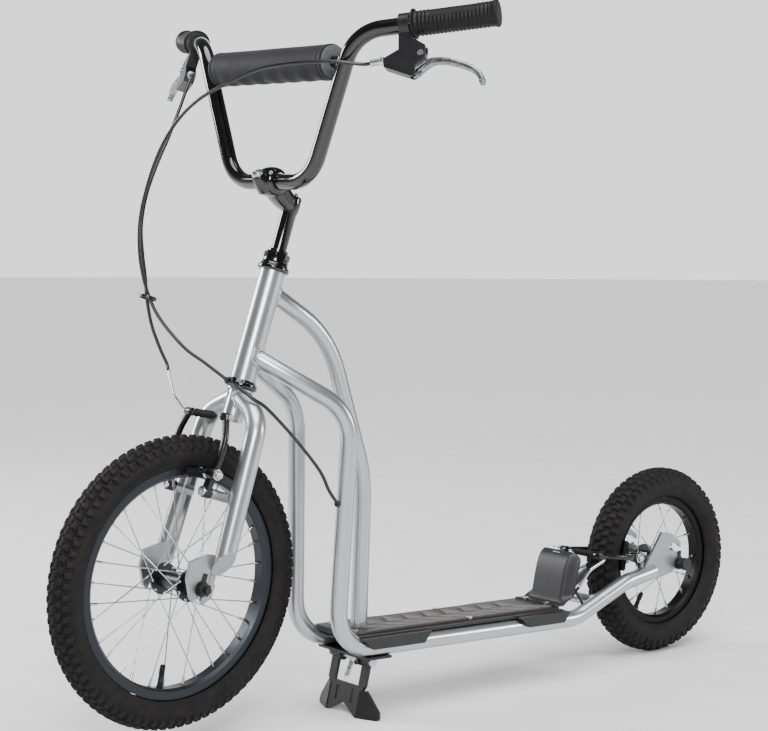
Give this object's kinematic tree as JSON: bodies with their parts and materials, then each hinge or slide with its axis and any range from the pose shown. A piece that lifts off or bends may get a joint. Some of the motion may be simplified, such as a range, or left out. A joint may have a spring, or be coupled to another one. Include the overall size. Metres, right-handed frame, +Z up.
{
  "type": "kick scooter",
  "caption": "Large kick scooter with spoked wheels, wide handlebar with padded crossbar, rim brakes, twin-rail frame, low deck and a folding centre stand, shown standing on the stand",
  "frame": {"origin": "on the ground, under the middle of the overall length and on the frame's centre plane", "axes": "+X forward, +Y to the rider's left, +Z up"},
  "size_m": [1.3146, 0.6722, 1.0224],
  "materials": {
    "silver_paint": "metallic silver paint, satin",
    "plate_grey": "grey paint on cut plate",
    "gloss_black": "gloss black paint",
    "black_steel": "black powder coat",
    "bare_steel": "zinc plated",
    "bare_alloy": "polished cast alloy",
    "rim_grey": "dark grey anodised",
    "rim_black": "black anodised",
    "black_plastic": "moulded, satin",
    "deck_plastic": "moulded with a raised non-slip pattern",
    "tyre_rubber": "knobbly tread",
    "grip_rubber": "ribbed",
    "cable_cover": "cable housing",
    "pad_cover": "coated fabric over foam"
  },
  "bodies": {
    "frame": {"head_tube": "silver_paint", "top_tube": "silver_paint", "side_tube_left": "silver_paint", "side_tube_right": "silver_paint", "frame_bridges": "silver_paint", "rear_dropouts": "plate_grey", "deck_board": "deck_plastic", "deck_screws": "bare_steel", "rear_guard": "black_plastic", "headset_cups": "gloss_black", "cable_guides": "black_plastic", "stand_bracket": "black_steel", "stand_pin": "bare_steel", "rear_axle": "black_steel", "rear_pivot_bolts": "bare_steel", "rear_cable": "cable_cover", "stand_spring": "bare_steel"},
    "steering": {"fork_steerer": "silver_paint", "fork_leg_left": "silver_paint", "fork_leg_right": "silver_paint", "fork_fittings": "plate_grey", "headset_locknut": "gloss_black", "stem": "gloss_black", "stem_bolts": "bare_steel", "handlebar": "gloss_black", "crossbar": "gloss_black", "bar_pad": "pad_cover", "grip_left": "grip_rubber", "grip_right": "grip_rubber", "lever_bracket_left": "black_plastic", "lever_bracket_right": "black_plastic", "lever_screws": "bare_steel", "lever_barrels": "bare_alloy", "front_cable": "cable_cover", "cable_tie": "black_plastic", "front_pivot_bolts": "bare_steel", "front_axle": "black_steel"},
    "lever_left": {"lever_blade_left": "bare_alloy"},
    "lever_right": {"lever_blade_right": "bare_alloy"},
    "front_arm_left": {"front_arm_left": "gloss_black", "front_pad_left": "grip_rubber", "front_boot": "grip_rubber"},
    "front_arm_right": {"front_arm_right": "gloss_black", "front_pad_right": "grip_rubber", "front_noodle": "bare_steel"},
    "rear_arm_left": {"rear_arm_left": "gloss_black", "rear_pad_left": "grip_rubber", "rear_noodle": "bare_steel"},
    "rear_arm_right": {"rear_arm_right": "gloss_black", "rear_pad_right": "grip_rubber", "rear_boot": "grip_rubber"},
    "front_wheel": {"front_tyre": "tyre_rubber", "front_rim": "rim_grey", "front_spokes": "bare_steel", "front_hub": "black_steel"},
    "rear_wheel": {"rear_tyre": "tyre_rubber", "rear_rim": "rim_black", "rear_spokes": "bare_steel", "rear_hub": "black_steel"},
    "stand": {"stand_legs": "black_steel"}
  },
  "joints": [
    {"name": "steering", "type": "hinge", "parent": "frame", "child": "steering", "pos_m": [0.34908, 0, 0.48688], "axis": [-0.3173, 0, 0.9483], "range_deg": [-65.6, 54.4], "deforming": ["rear_cable"]},
    {"name": "front_wheel_spin", "type": "hinge", "parent": "steering", "child": "front_wheel", "pos_m": [0.45491, 0.00176, 0.22703], "axis": [-0.0925, 0.9952, -0.031], "continuous": true},
    {"name": "rear_wheel_spin", "type": "hinge", "parent": "frame", "child": "rear_wheel", "pos_m": [-0.5015, 0, 0.157], "axis": [0, 1, 0], "continuous": true},
    {"name": "stand_fold", "type": "hinge", "parent": "frame", "child": "stand", "pos_m": [0.15171, 0, 0.08107], "axis": [0, 1, 0], "range_deg": [0, 95], "deforming": ["stand_spring"]},
    {"name": "lever_left_squeeze", "type": "hinge", "parent": "steering", "child": "lever_left", "pos_m": [0.23762, 0.25484, 0.92943], "axis": [0.8052, 0.5283, 0.2694], "range_deg": [0, 18], "stiffness_Nm_per_rad": 1.2, "springref_deg": -6.88},
    {"name": "lever_right_squeeze", "type": "hinge", "parent": "steering", "child": "lever_right", "pos_m": [0.28393, -0.24324, 0.94493], "axis": [-0.8872, 0.3533, -0.2968], "range_deg": [0, 18], "stiffness_Nm_per_rad": 1.2, "springref_deg": -6.88},
    {"name": "front_brake_left", "type": "hinge", "parent": "steering", "child": "front_arm_left", "pos_m": [0.43199, 0.04371, 0.35223], "axis": [0.9438, 0.0976, 0.3158], "range_deg": [0, 4], "deforming": ["front_boot"]},
    {"name": "front_brake_right", "type": "hinge", "parent": "steering", "child": "front_arm_right", "pos_m": [0.4394, -0.03591, 0.35471], "axis": [-0.9438, -0.0976, -0.3158], "range_deg": [0, 4], "deforming": ["front_boot", "front_cable"]},
    {"name": "rear_brake_right", "type": "hinge", "parent": "frame", "child": "rear_arm_right", "pos_m": [-0.42573, -0.04, 0.16894], "axis": [-0.1305, 0, 0.9914], "range_deg": [0, 4], "deforming": ["rear_boot"]},
    {"name": "rear_brake_left", "type": "hinge", "parent": "frame", "child": "rear_arm_left", "pos_m": [-0.42573, 0.04, 0.16894], "axis": [0.1305, 0, -0.9914], "range_deg": [0, 4], "deforming": ["rear_boot", "rear_cable"]}
  ],
  "couplings": [
    {"joint": "front_brake_left", "follows": "lever_right_squeeze", "ratio": 0.22},
    {"joint": "front_brake_right", "follows": "lever_right_squeeze", "ratio": 0.22},
    {"joint": "rear_brake_left", "follows": "lever_left_squeeze", "ratio": 0.22},
    {"joint": "rear_brake_right", "follows": "lever_left_squeeze", "ratio": 0.22}
  ]
}
